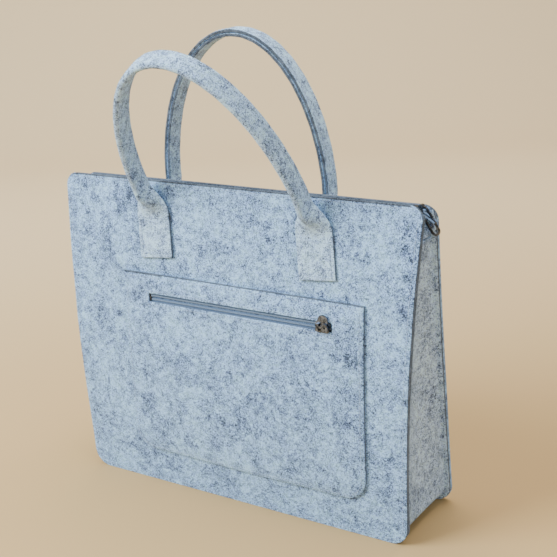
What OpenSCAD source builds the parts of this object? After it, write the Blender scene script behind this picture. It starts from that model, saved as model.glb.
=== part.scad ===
// Felt knitting bag: two leaning panels, a gusset strip sewn between them with turned-out
// seams, a zipped front pocket, a zipped mouth and two handles of folded felt strap.
// Millimetres. X runs to the bag's right, the front faces -Y, Z is up.
// The origin is the middle of the base, on the surface that the bag stands on.

/* [Panels] */
// Width of both panels at the top edge
top_w = 380; // [340:5:420]
// Width of both panels at the bottom edge
base_w = 354; // [320:2:380]
// Height of the front panel's top edge
bag_h = 302; // [290:2:310]
// How far the back panel's top edge stands below the front panel's
back_drop = 5; // [2:1:8]
// Depth over both panels at the bottom
base_d = 95; // [85:1:110]
// Depth over both panels at the top
mouth_d = 27; // [26:0.5:32]
// How far the mouth stands forward of the base's middle
mouth_forward = 21.6; // [0:0.2:26]
// Thickness of the felt
felt_t = 3; // [2.5:0.1:3.2]
// How far the front panel bows outward halfway up
front_bow = 8.5; // [3:0.5:12]
// How far the back panel bows outward halfway up
back_bow = 3; // [2.5:0.5:7]
// How far the side edges bow inward halfway up
waist = 2.5; // [0:0.5:5]
// Corner radius at the top of the panels
top_r = 12; // [10:1:20]
// Corner radius at the bottom of the panels
base_r = 17; // [12:1:30]

/* [Gusset] */
// How far the gusset's web is set in from the panels' edges
seam_in = 4.5; // [4:0.5:7]
// How far the web's top edge stands below the front panel's top edge
web_drop = 31; // [31:1:60]

/* [Front pocket] */
// Width of the pocket patch
patch_w = 256; // [220:2:280]
// Height of the pocket patch
patch_h = 179; // [140:1:185]
// Height of the patch's bottom edge
patch_z = 36.5; // [30:0.5:45]
// How far the patch's middle stands right of the bag's middle
patch_x = 12.5; // [-10:0.5:20]
// Corner radius at the bottom of the patch
patch_r = 22; // [10:1:40]
// Depth of the space between the patch and the front panel
pocket_gap = 1.5; // [1.4:0.1:1.8]
// Length of the zip slot in the patch
slot_w = 197; // [160:1:200]
// Height of the zip slot in the patch
slot_h = 8; // [8:0.5:10]
// How far the slot's middle line stands below the patch's top edge
slot_drop = 22.5; // [18:0.5:40]

/* [Zips] */
// Width of one half of the coil
coil_w = 2.5; // [2.3:0.1:2.5]
// Thickness of the coil
coil_h = 1.5; // [1.3:0.1:1.6]
// Slit between the two halves of a closed zip
zip_slit = 0.8; // [0.8:0.1:1]
// Thickness of the zip tape
tape_t = 0.5; // [0.4:0.1:0.5]
// Length of a slider's body
slider_l = 13; // [12:0.5:14]
// How far the mouth zip's tape lies below the front panel's top edge
zip_drop = 8.5; // [8:0.5:10]
// Slit between the two halves of the mouth zip, which the pull hangs through
mouth_slit = 2.4; // [2.2:0.1:2.6]
// Length of the mouth zip's wire pull
wire_pull_l = 27; // [20:1:28]
// Length of the pocket zip's pull
pocket_pull_l = 7; // [6:0.5:9]

/* [Handles] */
// Distance between the middles of a handle's two legs
handle_span = 172; // [150:2:190]
// Rise of the front handle above its hinge line
front_rise = 148; // [130:1:165]
// Rise of the back handle above its hinge line
back_rise = 141; // [130:1:165]
// Width of the folded strap, from its crease to its sewn edges
strap_w = 19.4; // [16:0.2:19.8]
// Thickness of the folded strap
strap_t = 6.8; // [5:0.2:7]
// How far the front handle leans forward at rest
front_lean = 28; // [10:1:40]
// How far the back handle leans forward at rest
back_lean = 2.5; // [0:0.5:10]
// How far the front handle's middle stands right of the bag's middle
front_handle_x = 3; // [-10:0.5:10]
// How far the back handle's middle stands right of the bag's middle
back_handle_x = -5; // [-10:0.5:10]
// Slant of the front handle's tabs
front_sway = 6; // [0:0.5:8]
// Width of a handle tab
tab_w = 36; // [30:1:40]
// Height of a handle tab's bottom edge
tab_z = 231.5; // [225:0.5:240]
// Height where a handle tab starts to narrow
tab_shoulder_z = 274; // [268:0.5:276]
// Height of the line that the handles swing about
hinge_z = 292; // [290:0.5:294]
// How far that line stands out from the panel's face
hinge_out = 14; // [13.5:0.5:16]

/* [Hidden] */

felt = "#b9c3d0";
felt_shade = "#a5adb8";
strap_felt = "#b3b9c4";
tape_tone = "#8793a6";
coil_tone = "#9aa6b8";
thread_tone = "#c4ccd6";
brass = "#7a6a55";

face_fn = 1440;    // segments of the panels' very large arcs
round_fn = 48;     // segments of small round shapes
corner_steps = 6;  // points along each rounded corner
side_steps = 8;    // points along each bowed side edge
gap = 0.3;         // clearance between pieces that pass each other
plate_t = 1;       // thickness of a slider's plates
thread_w = 0.8;    // width of a line of stitches
thread_t = 0.3;    // how far a line of stitches stands proud
stitch_in = 4;     // distance of the seam stitches from the panels' edges
big = 600;         // longer than anything in the bag
tuck_in = 13;      // how far the gusset's tucked ends slope inward
tuck_drop = 4.5;   // how far their tops lie below the mouth zip's tapes
legs = handle_span / 2; // distance of a leg's middle from its handle's middle
arch_steps = 48;   // straight stretches that make up a handle's arch
foot_steps = 6;    // steps down a leg's round foot
foot_end = 84;     // angle at which the foot is cut off flat
crease_steps = 10; // steps round the strap's crease

// ---- the panels' faces, seen from the side: [y, z] at the bottom and at the top ----
front_foot = [-base_d / 2, 0];
front_head = [-mouth_forward - mouth_d / 2, bag_h];
back_foot = [base_d / 2, 0];
back_head = [-mouth_forward + mouth_d / 2, bag_h - back_drop];

// Radius and centre of the arc through a face's foot and head; side is -1 in front, 1 behind
function bow_radius(chord, bow) = (chord * chord / 4 + bow * bow) / (2 * bow);
function arc_centre(foot, head, bow, side) =
  let (v = head - foot, c = norm(v), inward = -side * [v[1], -v[0]] / c)
    (foot + head) / 2 + inward * (bow_radius(c, bow) - bow);

front_R = bow_radius(norm(front_head - front_foot), front_bow);
front_C = arc_centre(front_foot, front_head, front_bow, -1);
back_R = bow_radius(norm(back_head - back_foot), back_bow);
back_C = arc_centre(back_foot, back_head, back_bow, 1);

// Y of a face at height z, standing out from the panel's outer face by `out`
function front_y(z, out = 0) =
  front_C[0] - sqrt(pow(front_R + out, 2) - pow(z - front_C[1], 2));
function back_y(z, out = 0) =
  back_C[0] + sqrt(pow(back_R + out, 2) - pow(z - back_C[1], 2));
function front_tilt(z) = asin((z - front_C[1]) / front_R);

mouth_y = -mouth_forward;             // middle of the mouth
zip_z = bag_h - zip_drop;             // top surface of the mouth zip's tapes
slot_z = patch_z + patch_h - slot_drop;
web_top = bag_h - web_drop;

// ---- outlines, seen from the front: [x, z] ----
function half_w(z) =
  let (s = z / bag_h)
    base_w / 2 + (top_w - base_w) / 2 * s - 4 * waist * s * (1 - s);
function arc(c, r, from, to, steps = corner_steps) =
  [for (i = [0:steps])
    let (a = from + (to - from) * i / steps) c + r * [cos(a), sin(a)]];
function mirrored(points) = [for (i = [len(points) - 1:-1:0]) [-points[i][0], points[i][1]]];

// The panels' outline up to height h, drawn `in` inside the edge
function panel_right(h, in) =
  let (shoulder = h - top_r)
    concat(
      arc([half_w(base_r) - base_r, base_r], base_r - in, -90, 0),
      [for (i = [1:side_steps - 1])
        let (z = base_r + (shoulder - base_r) * i / side_steps) [half_w(z) - in, z]],
      arc([half_w(shoulder) - top_r, shoulder], top_r - in, 0, 90)
    );
function panel_outline(h, in = 0) = concat(panel_right(h, in), mirrored(panel_right(h, in)));

// The pocket patch's outline, drawn `in` inside the edge
function patch_outline(in = 0) =
  let (
    w = patch_w / 2 - in, r = patch_r - in, low = patch_z + in, high = patch_z + patch_h - in,
    right = concat(arc([w - r, low + r], r, -90, 0), [[w, high]])
  )
    [for (p = concat(right, mirrored(right))) p + [patch_x, 0]];

// ---- helpers ----
// A shape drawn as [y, z] becomes a bar along X
module along_x(width = big) {
  rotate([90, 0, 90]) linear_extrude(height = width, center = true) children();
}

// A shape drawn as [x, z] becomes a bar along Y
module along_y(depth = big) {
  rotate([90, 0, 0]) linear_extrude(height = depth, center = true) children();
}

// The layer of space between two distances out from the front or back face
module front_layer(low, high) {
  along_x() intersection() {
    difference() {
      translate(front_C) circle(r = front_R + high, $fn = face_fn);
      translate(front_C) circle(r = front_R + low, $fn = face_fn);
    }
    translate([front_head[0] - big / 2 - base_d / 4, -1]) square([big / 2 + base_d / 3, big]);
  }
}

module back_layer(low, high) {
  along_x() intersection() {
    difference() {
      translate(back_C) circle(r = back_R + high, $fn = face_fn);
      translate(back_C) circle(r = back_R + low, $fn = face_fn);
    }
    translate([back_head[0] - base_d / 4, -1]) square([big, big]);
  }
}

// Everything between the two panels, kept `clear` of their inner faces
module between_panels(clear = 0) {
  along_x() intersection() {
    translate(front_C) circle(r = front_R - felt_t - clear, $fn = face_fn);
    translate(back_C) circle(r = back_R - felt_t - clear, $fn = face_fn);
    translate([-base_d, 0]) square([2 * base_d, bag_h]);
  }
}

// A U-shaped ring that follows the panels' edge, between two distances in from it
module edge_ring(outer_in, inner_in, h, top) {
  along_y() intersection() {
    difference() {
      polygon(panel_outline(h, outer_in));
      polygon(panel_outline(h + 2 * top_r, inner_in));
    }
    translate([-big / 2, 0]) square([big, top]);
  }
}

// Places children on the front face at height z: X across, Z up the face, -Y outward
module on_front(z) {
  translate([0, front_y(z), z]) rotate([-front_tilt(z), 0, 0]) children();
}

// A box given by its lowest and highest corners
module box(low, high) {
  translate(low) cube(high - low);
}

// ---- felt shell ----
module front_panel() {
  color(felt) intersection() {
    front_layer(-felt_t, 0);
    along_y() polygon(panel_outline(bag_h));
  }
}

module back_panel() {
  color(felt) intersection() {
    back_layer(-felt_t, 0);
    along_y() polygon(panel_outline(bag_h - back_drop));
  }
}

// One strip runs down a side, across the bottom and up the other side. Its edges are turned
// outward and lie flat against the panels' inner faces. Above the web, each end is tucked
// inward under the zip as two flaps with a slit between them.
module gusset_strip() {
  inner = seam_in + felt_t;
  join = 0.5; // how far the flaps reach into the web
  web_x = half_w(web_top) - seam_in;
  tuck_x = web_x - tuck_in;
  tuck_z = zip_z - tuck_drop;
  color(felt_shade) union() {
    intersection() {
      between_panels();
      edge_ring(seam_in, inner, bag_h, web_top);
    }
    difference() {
      intersection() {
        between_panels(tape_t + gap);
        along_y() for (end = [-1, 1])
          polygon([
            [end * web_x, web_top - join], [end * tuck_x, tuck_z],
            [end * (tuck_x - felt_t), tuck_z], [end * (web_x - felt_t), web_top - join]
          ]);
      }
      box([-big, mouth_y - mouth_half_slit, web_top - 2 * join],
        [big, mouth_y + mouth_half_slit, bag_h]);
    }
    intersection() {
      front_layer(-2 * felt_t, -felt_t);
      edge_ring(0, inner, bag_h, bag_h - top_r / 2);
    }
    intersection() {
      back_layer(-2 * felt_t, -felt_t);
      edge_ring(0, inner, bag_h - back_drop, bag_h - back_drop - top_r / 2);
    }
  }
}

// The patch is thick at its sewn rim, and stands off the panel inside it
module pocket_patch() {
  rim = 7;
  past = 20;
  color(felt) difference() {
    intersection() {
      front_layer(0, pocket_gap + felt_t);
      along_y() polygon(patch_outline());
    }
    intersection() {
      front_layer(-felt_t, pocket_gap);
      along_y() polygon(patch_outline(rim));
    }
    on_front(slot_z)
      box([patch_x - slot_w / 2, -past, -slot_h / 2], [patch_x + slot_w / 2, past, slot_h / 2]);
  }
}

// ---- pocket zip, in the slot's own frame: n is the distance out from the front face ----
tape_n = pocket_gap - 0.1;           // outer surface of the pocket zip's tapes
coil_n = tape_n + coil_h;            // outer surface of the pocket zip's coil
half_slit = zip_slit / 2;
coil_edge = half_slit + coil_w;      // outer edge of the coil
pocket_right = patch_x + slot_w / 2; // right end of the slot
pocket_left = patch_x - slot_w / 2;
slider_park = 2;                     // how far the closed slider stops short of the slot's end
pocket_slider_x = pocket_right - slider_park - slider_l; // left end of the slider at rest
tape_half = 12.5;                    // half the height of the pocket zip's tapes
stop_l = 1.5;                        // length of a metal stop

// side is 1 for the upper half and -1 for the lower half
module pocket_half(x0, x1, n0, n1, s0, s1, side) {
  on_front(slot_z) mirror([0, 0, side < 0 ? 1 : 0]) box([x0, -n1, s0], [x1, -n0, s1]);
}

module pocket_tape(side) {
  over = 6; // how far the tape reaches past the slot's ends
  color(tape_tone)
    pocket_half(pocket_left - over, pocket_right + over, tape_n - tape_t, tape_n,
      half_slit, tape_half, side);
}

module pocket_coil(side) {
  color(coil_tone)
    pocket_half(pocket_left + stop_l, pocket_right - stop_l, tape_n, coil_n,
      half_slit, coil_edge, side);
}

module pocket_zip_stops() {
  color(brass) {
    on_front(slot_z)
      box([pocket_left, -coil_n, -coil_edge], [pocket_left + stop_l, -tape_n, coil_edge]);
    for (side = [-1, 1])
      pocket_half(pocket_right - stop_l, pocket_right, tape_n, coil_n,
        half_slit, coil_edge, side);
  }
}

neck_t = zip_slit - 0.4;  // thickness of the post that joins a slider's two plates
neck_l = 3;               // length of that post
lug_w = 2;                // width of the lug that holds a pull
slip = 0.15;              // clearance between the pocket slider and its zip
panel_clear = 0.2;        // clearance between the pocket slider and the front panel

// Pocket slider: a plate behind the tapes, a post in the slit, side walls round the coil and
// a top plate in front of the felt with a lug for the pull
pocket_plate_n = pocket_gap + felt_t + gap; // back of the slider's top plate
pocket_top_n = pocket_plate_n + plate_t;    // front of the slider's top plate
pull_eye_r = 1.7;                           // radius of the round end of the pocket pull
pull_pin_r = 0.7;                           // radius of the lug's cross pin
pin_clear = 0.08;                           // clearance between a pull's eye and its pin
pocket_pull_n = pocket_top_n + pull_eye_r + gap; // distance out to the pocket pull's pin
pocket_pull_x = pocket_slider_x + 3;            // where that pin crosses the slider

module pocket_zip_slider() {
  wall_in = coil_edge + gap;
  wall_out = slot_h / 2 - gap;
  back_half = 3.6;
  front_half = 5;
  end_r = 7.4;
  lug_half = 1.6;
  lug_over = 1.4;
  knob_r = 5;
  knob_z = 5.8;
  knob_t = 1;
  x0 = pocket_slider_x;
  x1 = x0 + slider_l;
  color(brass) on_front(slot_z) {
    box([x0, slip - (tape_n - tape_t), -back_half], [x1, -panel_clear, back_half]);
    box([x0, -pocket_plate_n, -neck_t / 2], [x0 + neck_l, -panel_clear, neck_t / 2]);
    for (s = [-1, 1])
      mirror([0, 0, s < 0 ? 1 : 0])
        box([x0, -pocket_plate_n, wall_in], [x1, -(tape_n + slip), wall_out]);
    intersection() {
      box([x0, -pocket_top_n, -front_half], [x1, -pocket_plate_n, front_half]);
      translate([x0 + slider_l / 2, 0, 0]) rotate([90, 0, 0])
        cylinder(r = end_r, h = big, center = true, $fn = round_fn);
    }
    translate([x0 + slider_l / 2 + 0.8, -(pocket_top_n - 0.2), knob_z]) rotate([90, 0, 0])
      cylinder(r = knob_r, h = knob_t + 0.2, $fn = round_fn);
    for (s = [-1, 1])
      translate([pocket_pull_x, 0, s * (lug_w + gap)])
        box([-lug_half, -(pocket_pull_n + lug_over), -lug_w / 2],
          [lug_half, -pocket_top_n, lug_w / 2]);
    translate([pocket_pull_x, -pocket_pull_n, 0])
      cylinder(r = pull_pin_r, h = 2 * lug_w, center = true, $fn = round_fn);
  }
}

// A small tongue with a round holed end, on the slider's pin between the two lugs. It lies
// along the zip and turns over about the pin.
module pocket_zip_pull() {
  disc_r = 3.4;
  hole_r = 0.9;
  half_t = 0.6;
  color(brass) on_front(slot_z) translate([pocket_pull_x, -pocket_pull_n, 0]) difference() {
    union() {
      cylinder(r = pull_eye_r, h = lug_w, center = true, $fn = round_fn);
      box([pull_pin_r + gap, -half_t, -lug_w / 2],
        [pocket_pull_l - disc_r / 2, half_t, lug_w / 2]);
      translate([pocket_pull_l, 0, 0]) rotate([90, 0, 0])
        cylinder(r = disc_r, h = 2 * half_t, center = true, $fn = round_fn);
    }
    cylinder(r = pull_pin_r + pin_clear, h = big, center = true, $fn = round_fn);
    translate([pocket_pull_l, 0, 0]) rotate([90, 0, 0])
      cylinder(r = hole_r, h = big, center = true, $fn = round_fn);
  }
}

// ---- mouth zip ----
top_end_x = 181;      // where the zip starts to bend down over the corner
tail_dx = 12.5;       // how far the bent tail reaches
tail_dz = 7;          // how far the bent tail drops
tail_half = 4;        // half the width of the two tails together
tape_leg = 9;         // height of the part of the tape sewn to the panel
top_slider_x = 166;   // left end of the mouth slider at rest
top_stop_x = 179.5;   // where the coil ends at the stops
mouth_half_slit = mouth_slit / 2;
mouth_coil_edge = mouth_half_slit + coil_w; // outer edge of the mouth zip's coil

// side is -1 for the front half and 1 for the back half. The tape lies flat from the slit to
// the panel and turns down its inner face; past the corner it narrows to a tail.
module top_tape(side) {
  color(tape_tone) union() {
    intersection() {
      between_panels();
      box([-top_end_x, side < 0 ? -big : mouth_y + mouth_half_slit, zip_z - tape_t],
        [top_end_x, side < 0 ? mouth_y - mouth_half_slit : big, zip_z]);
    }
    intersection() {
      if (side < 0) front_layer(-felt_t - tape_t, -felt_t);
      else back_layer(-felt_t - tape_t, -felt_t);
      box([-top_end_x, -big, zip_z - tape_leg], [top_end_x, big, zip_z]);
    }
    translate([0, mouth_y + side * (mouth_half_slit + tail_half) / 2, 0])
      along_y(tail_half - mouth_half_slit) for (end = [-1, 1])
        polygon([
          [end * top_end_x, zip_z], [end * (top_end_x + tail_dx), zip_z - tail_dz],
          [end * (top_end_x + tail_dx), zip_z - tail_dz - tape_t],
          [end * top_end_x, zip_z - tape_t]
        ]);
  }
}

module top_coil(side) {
  color(coil_tone)
    translate([0, mouth_y + side * (mouth_half_slit + coil_w / 2), zip_z + coil_h / 2])
      cube([2 * top_stop_x, coil_w, coil_h], center = true);
}

module top_zip_stops() {
  color(brass) {
    translate([top_stop_x, mouth_y, zip_z])
      for (side = [-1, 1])
        translate([0, side * (mouth_half_slit + coil_w / 2) - coil_w / 2, 0])
          cube([stop_l, coil_w, coil_h]);
    translate([-top_stop_x - stop_l, mouth_y - mouth_coil_edge, zip_z])
      cube([stop_l, 2 * mouth_coil_edge, coil_h]);
  }
}

wire_r = 0.8;                       // half the thickness of the mouth zip's pull
loop_half = 4;                      // half the width of that pull's loop
eye_r = 1.9;                        // outer radius of its eye and of the slider's lugs
top_plate_z = zip_z + coil_h + gap; // underside of the slider's top plate
lid_z = top_plate_z + plate_t;      // top of the slider's top plate
pivot_out = 2;                      // how far the pull's pin stands past the slider's end
pull_pivot = [top_slider_x + slider_l + pivot_out, lid_z + eye_r + gap]; // [x, z] of that pin
pull_angle = 57.7;                  // how steeply the pull hangs below level

// Mouth slider: two plates, a post in the slit, side walls round the coil and two lugs that
// hold the pull's pin beyond its right end. The right end is slotted so the pull can hang.
module top_zip_slider() {
  half = 5.2;
  under_z = zip_z - tape_t - gap;
  slot_l = 3.2;
  lug_in = wire_r + gap;
  lug_t = 1;
  lug_root = 5;
  past = 2;
  x0 = top_slider_x;
  x1 = x0 + slider_l;
  color(brass) translate([0, mouth_y, 0]) {
    difference() {
      union() {
        box([x0, -half, under_z - plate_t], [x1, half, under_z]);
        box([x0, -half, top_plate_z], [x1, half, lid_z]);
      }
      box([x1 - slot_l, -mouth_half_slit, under_z - past],
        [x1 + past, mouth_half_slit, lid_z + past]);
    }
    box([x0, gap - mouth_half_slit, under_z - plate_t],
      [x0 + neck_l, mouth_half_slit - gap, lid_z]);
    for (s = [-1, 1])
      mirror([0, s < 0 ? 1 : 0, 0]) {
        box([x0, mouth_coil_edge + gap, zip_z + gap], [x1, half, lid_z]);
        translate([0, lug_in + lug_t, 0]) rotate([90, 0, 0]) linear_extrude(height = lug_t) {
          translate(pull_pivot) circle(r = eye_r, $fn = round_fn);
          translate([x1 - lug_root, lid_z - plate_t / 2])
            square([lug_root + pivot_out, pull_pivot[1] - lid_z + plate_t / 2]);
        }
      }
    translate([pull_pivot[0], 0, pull_pivot[1]]) rotate([90, 0, 0])
      cylinder(r = pull_pin_r, h = 2 * lug_in + lug_t, center = true, $fn = round_fn);
  }
}

// A loop of wire with an eye on the slider's pin. It hangs in the slit, over the bag's end.
module top_zip_pull() {
  near = loop_half + 0.9; // where the loop's straight sides start
  far = wire_pull_l - loop_half;
  color(brass) translate([pull_pivot[0], mouth_y, pull_pivot[1]])
    rotate([0, pull_angle, 0]) along_y(2 * wire_r) {
      difference() {
        stadium(near, far, loop_half);
        stadium(near, far, loop_half - 2 * wire_r);
      }
      difference() {
        circle(r = eye_r, $fn = round_fn);
        circle(r = pull_pin_r + pin_clear, $fn = round_fn);
      }
    }
}

module stadium(from, to, r) {
  translate([from, -r]) square([to - from, 2 * r]);
  for (x = [from, to])
    translate([x, 0]) circle(r = r, $fn = round_fn);
}

// ---- handles ----
// A place along a handle, in its own plane: [middle, outward from the loop, share of width]
function arch_place(rise, t) =
  let (out = [cos(t) / legs, sin(t) / rise]) [[legs * cos(t), rise * sin(t)], out / norm(out), 1];
function arch_places(rise) = [for (i = [0:arch_steps]) arch_place(rise, 180 * i / arch_steps)];

// Places down a leg's round foot, which narrows below the hinge line
function foot_place(s, i) =
  let (a = foot_end * i / foot_steps)
    [[s * legs, -strap_w / 2 * sin(a)], [s, 0], cos(a)];
function handle_places(rise) = concat(
  [for (i = [foot_steps:-1:1]) foot_place(1, i)],
  arch_places(rise),
  [for (i = [1:foot_steps]) foot_place(-1, i)]
);

// Carries a [outward, sideways] section through a list of places
module sweep(places, section) {
  n = len(section);
  last = len(places) - 1;
  polyhedron(
    points = [for (q = places, p = section) [
      q[0][0] + p[0] * q[1][0], q[0][1] + p[0] * q[1][1], p[1] * q[2]
    ]],
    faces = concat(
      [[for (j = [0:n - 1]) j]],
      [for (i = [0:last - 1], j = [0:n - 1], upper = [0, 1])
        let (k = (j + 1) % n, a = i * n)
          upper == 0 ? [a + k, a + j, a + n + j] : [a + k, a + n + j, a + n + k]],
      [[for (j = [n - 1:-1:0]) last * n + j]]
    )
  );
}

// Places a handle drawn in its own plane: lean is forward, +Z of the plane faces forward
module at_hinge(x, y, lean) {
  translate([x, y, hinge_z]) rotate([90 + lean, 0, 0]) children();
}

front_hinge_y = front_y(hinge_z, hinge_out);
back_hinge_y = back_y(hinge_z, hinge_out);

// Folded strap: a round crease on the side away from the bag and two sewn edges on the other.
// side is 1 when the crease faces the plane's +Z. The feet are round about the hinge line.
module strap(rise, side) {
  half = strap_w / 2;
  r = strap_t / 2;
  mirror([0, 0, side < 0 ? 1 : 0])
    sweep(handle_places(rise), concat(
      [[-r, -half]], arc([0, half - r], r, 180, 0, crease_steps), [[r, -half]]
    ));
}

// The line of stitches that closes the strap near its open edges, on both of its flat sides
module strap_thread(rise, side) {
  v = -strap_w / 2 + stitch_in;
  places = arch_places(rise);
  run = [for (i = [1:arch_steps - 1]) places[i]];
  mirror([0, 0, side < 0 ? 1 : 0])
    for (low = [-strap_t / 2 - thread_t, strap_t / 2])
      sweep(run, [
        [low, v], [low, v + thread_w], [low + thread_t, v + thread_w], [low + thread_t, v]
      ]);
}

saddle_r = strap_w / 2 + gap; // radius of the hollow that a leg's round foot turns in

// A tab's outline about the hinge line, from height `low` up: wide, then narrowing to the fold
function tab_outline(low) =
  let (half = tab_w / 2, waist_half = 0.7 * half, shoulder = tab_shoulder_z - hinge_z)
    [
      [-half, low], [half, low], [half, shoulder], [waist_half, -saddle_r], [strap_t, 0],
      [-strap_t, 0], [-waist_half, -saddle_r], [-half, shoulder]
    ];

// side is -1 in front and 1 behind; x is the leg's middle; slant turns the tab about the hinge
module tab(x, slant, side) {
  face_y = side < 0 ? front_y(hinge_z) : back_y(hinge_z);
  hinge_y = side < 0 ? front_hinge_y : back_hinge_y;
  out = abs(face_y - hinge_y);
  into = 12;                       // how far the rise is drawn into the panel
  foot = 2;                        // how far it starts out from the panel
  lip = 6;                         // how far it reaches past the hinge line
  seat = 2;                        // where its upper side starts, inside the hinge line
  low_z = tab_shoulder_z - 6;      // where it starts
  lip_z = hinge_z - saddle_r - 0.6; // height of its lip
  top_z = hinge_z - 4;             // height of its upper side where it meets the panel
  // flat part, sewn to the panel
  intersection() {
    if (side < 0) front_layer(0, felt_t);
    else back_layer(0, felt_t);
    slanted(x, slant) polygon(tab_outline(tab_z - hinge_z));
  }
  // the rise to the folded strap, below the leg's round foot
  difference() {
    intersection() {
      translate([0, hinge_y, 0]) mirror([0, side < 0 ? 0 : 1, 0]) along_x() polygon([
        [out + into, low_z], [out - foot, low_z], [-lip, lip_z], [seat, lip_z],
        [out + into, top_z]
      ]);
      slanted(x, slant) polygon(tab_outline(low_z - hinge_z));
    }
    if (side < 0) translate([0, front_C[0], front_C[1]]) rotate([0, 90, 0])
      cylinder(r = front_R + felt_t / 2, h = big, center = true, $fn = face_fn);
    else translate([0, back_C[0], back_C[1]]) rotate([0, 90, 0])
      cylinder(r = back_R + felt_t / 2, h = big, center = true, $fn = face_fn);
    translate([0, hinge_y, hinge_z]) rotate([0, 90, 0])
      cylinder(r = saddle_r, h = big, center = true, $fn = round_fn);
  }
}

// A [x, z] shape drawn about the hinge line, slanted by an angle and moved to a leg
module slanted(x, slant) {
  translate([x, 0, hinge_z]) rotate([0, slant, 0]) along_y() children();
}

// A box of stitches inside a tab's edge
module tab_stitches(x, slant, side) {
  edge = 3.5;
  w = tab_w / 2 - edge;
  low = tab_z - hinge_z + edge;
  high = tab_shoulder_z - hinge_z - 2 * edge;
  intersection() {
    if (side < 0) front_layer(felt_t, felt_t + thread_t);
    else back_layer(felt_t, felt_t + thread_t);
    slanted(x, slant) difference() {
      translate([-w, low]) square([2 * w, high - low]);
      translate([-w + thread_w, low + thread_w])
        square([2 * (w - thread_w), high - low - 2 * thread_w]);
    }
  }
}

front_tab_x = [front_handle_x - legs, front_handle_x + legs];
back_tab_x = [back_handle_x - legs, back_handle_x + legs];

module front_handle_strap() {
  color(strap_felt) at_hinge(front_handle_x, front_hinge_y, front_lean) strap(front_rise, 1);
}

module back_handle_strap() {
  color(strap_felt) at_hinge(back_handle_x, back_hinge_y, back_lean) strap(back_rise, -1);
}

module front_handle_thread() {
  color(thread_tone) at_hinge(front_handle_x, front_hinge_y, front_lean)
    strap_thread(front_rise, 1);
}

module back_handle_thread() {
  color(thread_tone) at_hinge(back_handle_x, back_hinge_y, back_lean)
    strap_thread(back_rise, -1);
}

// ---- lines of stitches ----
seam_top = bag_h - top_r;

module front_seam_thread() {
  color(thread_tone) intersection() {
    front_layer(0, thread_t);
    edge_ring(stitch_in, stitch_in + thread_w, bag_h, seam_top);
  }
}

module back_seam_thread() {
  color(thread_tone) intersection() {
    back_layer(0, thread_t);
    edge_ring(stitch_in, stitch_in + thread_w, bag_h - back_drop, seam_top - back_drop);
  }
}

// The mouth zip's stitches, along the top of a panel and clear of the handle tabs
module zip_thread(top) {
  hem = 3;
  run = half_w(top) - top_r;
  along_y() translate([-run, top - hem - thread_w / 2]) square([2 * run, thread_w]);
}

module front_zip_thread() {
  color(thread_tone) intersection() {
    front_layer(0, thread_t);
    zip_thread(bag_h);
  }
}

module back_zip_thread() {
  color(thread_tone) intersection() {
    back_layer(0, thread_t);
    zip_thread(bag_h - back_drop);
  }
}

module pocket_edge_thread() {
  in = 3.5;
  color(thread_tone) intersection() {
    front_layer(pocket_gap + felt_t, pocket_gap + felt_t + thread_t);
    along_y() intersection() {
      difference() {
        polygon(patch_outline(in));
        polygon(patch_outline(in + thread_w));
      }
      translate([-big / 2, 0]) square([big, patch_z + patch_h]);
    }
  }
}

module pocket_zip_thread() {
  out = 2.5;
  color(thread_tone) intersection() {
    front_layer(pocket_gap + felt_t, pocket_gap + felt_t + thread_t);
    along_y() translate([patch_x, slot_z]) difference() {
      square([slot_w + 2 * (out + thread_w), slot_h + 2 * (out + thread_w)], center = true);
      square([slot_w + 2 * out, slot_h + 2 * out], center = true);
    }
  }
}

module front_left_tab() { color(strap_felt) tab(front_tab_x[0], -front_sway, -1); }
module front_right_tab() { color(strap_felt) tab(front_tab_x[1], -front_sway, -1); }
module back_left_tab() { color(strap_felt) tab(back_tab_x[0], 0, 1); }
module back_right_tab() { color(strap_felt) tab(back_tab_x[1], 0, 1); }

module front_tab_threads() {
  color(thread_tone) for (x = front_tab_x) tab_stitches(x, -front_sway, -1);
}

module back_tab_threads() {
  color(thread_tone) for (x = back_tab_x) tab_stitches(x, 0, 1);
}

front_panel();
back_panel();
gusset_strip();
pocket_patch();
pocket_tape(1);  // pocket_zip_upper_tape
pocket_tape(-1);  // pocket_zip_lower_tape
pocket_coil(1);  // pocket_zip_upper_coil
pocket_coil(-1);  // pocket_zip_lower_coil
pocket_zip_stops();
pocket_zip_slider();
pocket_zip_pull();
top_tape(-1);  // top_zip_front_tape
top_tape(1);  // top_zip_back_tape
top_coil(-1);  // top_zip_front_coil
top_coil(1);  // top_zip_back_coil
top_zip_stops();
top_zip_slider();
top_zip_pull();
front_handle_strap();
back_handle_strap();
front_handle_thread();
back_handle_thread();
front_left_tab();
front_right_tab();
back_left_tab();
back_right_tab();
front_seam_thread();
back_seam_thread();
front_zip_thread();
back_zip_thread();
pocket_edge_thread();
pocket_zip_thread();
front_tab_threads();
back_tab_threads();
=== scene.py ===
"""The looks of the felt knitting bag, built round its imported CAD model.

Lengths are in millimetres up to Mesh.build(), which turns them into metres. The bag's faces
are the same arcs as in the CAD model, with a slight wave that everything sewn to them shares.
"""

import math

import bmesh
import bpy
import numpy as np
from mathutils import Matrix, Vector


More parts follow.
